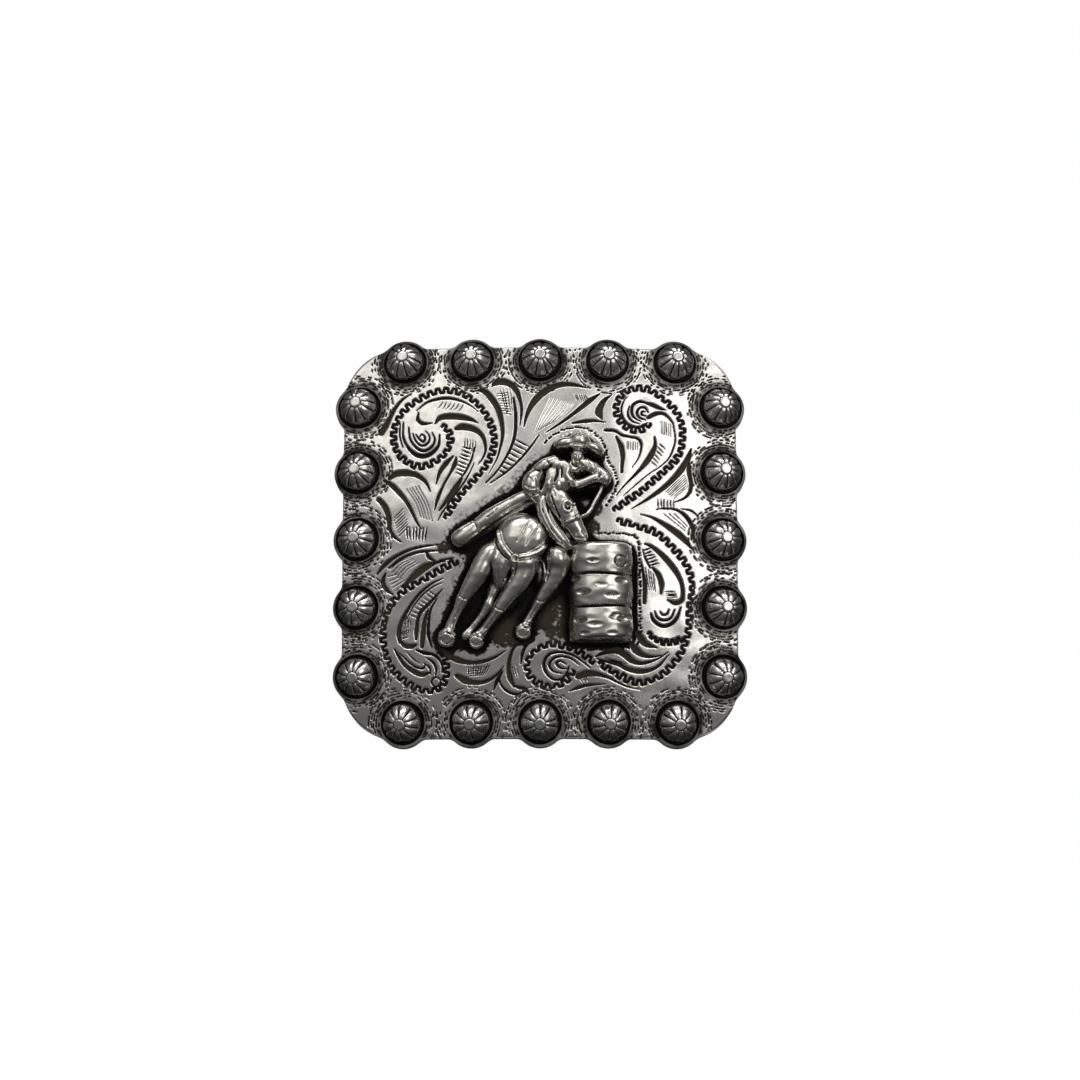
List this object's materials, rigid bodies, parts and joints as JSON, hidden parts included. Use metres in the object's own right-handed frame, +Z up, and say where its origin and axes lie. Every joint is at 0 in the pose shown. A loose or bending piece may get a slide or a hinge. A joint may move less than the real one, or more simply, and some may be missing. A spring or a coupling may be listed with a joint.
{
  "type": "screw-back concho",
  "caption": "Square domed metal concho with berry edge, engraved scrolls and a barrel-racing relief, held to leather by a screw from behind.",
  "frame": {"origin": "on the post's axis, in the plane of the leather's front face that the plate's corners rest on", "axes": "+X to the viewer's right across the face, +Z up the face, -Y out of the face, +Y along the post out of the back"},
  "size_m": [0.0382, 0.0134, 0.0382],
  "materials": {
    "plate_silver": "antique silver plate, engraved, dark oxide left in the cuts",
    "figure_silver": "antique silver plate, worn bright on the high spots",
    "post_brass": "silver-coloured plating",
    "screw_steel": "plain steel",
    "berry_silver": "polished silver plate with black oxide between the petals"
  },
  "bodies": {
    "concho": {"face_plate": "plate_silver", "barrel": "figure_silver", "horse": "figure_silver", "rider": "figure_silver", "screw_post": "post_brass", "berry_01": "berry_silver", "berry_02": "berry_silver", "berry_03": "berry_silver", "berry_04": "berry_silver", "berry_05": "berry_silver", "berry_06": "berry_silver", "berry_07": "berry_silver", "berry_08": "berry_silver", "berry_09": "berry_silver", "berry_10": "berry_silver", "berry_11": "berry_silver", "berry_12": "berry_silver", "berry_13": "berry_silver", "berry_14": "berry_silver", "berry_15": "berry_silver", "berry_16": "berry_silver", "berry_17": "berry_silver", "berry_18": "berry_silver", "berry_19": "berry_silver", "berry_20": "berry_silver"},
    "washer": {"washer": "screw_steel"},
    "screw": {"screw": "screw_steel"}
  },
  "joints": [
    {"name": "screw_out", "type": "slide", "parent": "concho", "child": "washer", "axis": [0, 1, 0], "range_m": [0, 0.00953]},
    {"name": "screw_turn", "type": "hinge", "parent": "washer", "child": "screw", "pos_m": [0, 0.0037, 0], "axis": [0, 1, 0], "range_deg": [0, 4320]}
  ],
  "couplings": [
    {"joint": "screw_turn", "follows": "screw_out", "rad_per_m": 7915.8}
  ]
}
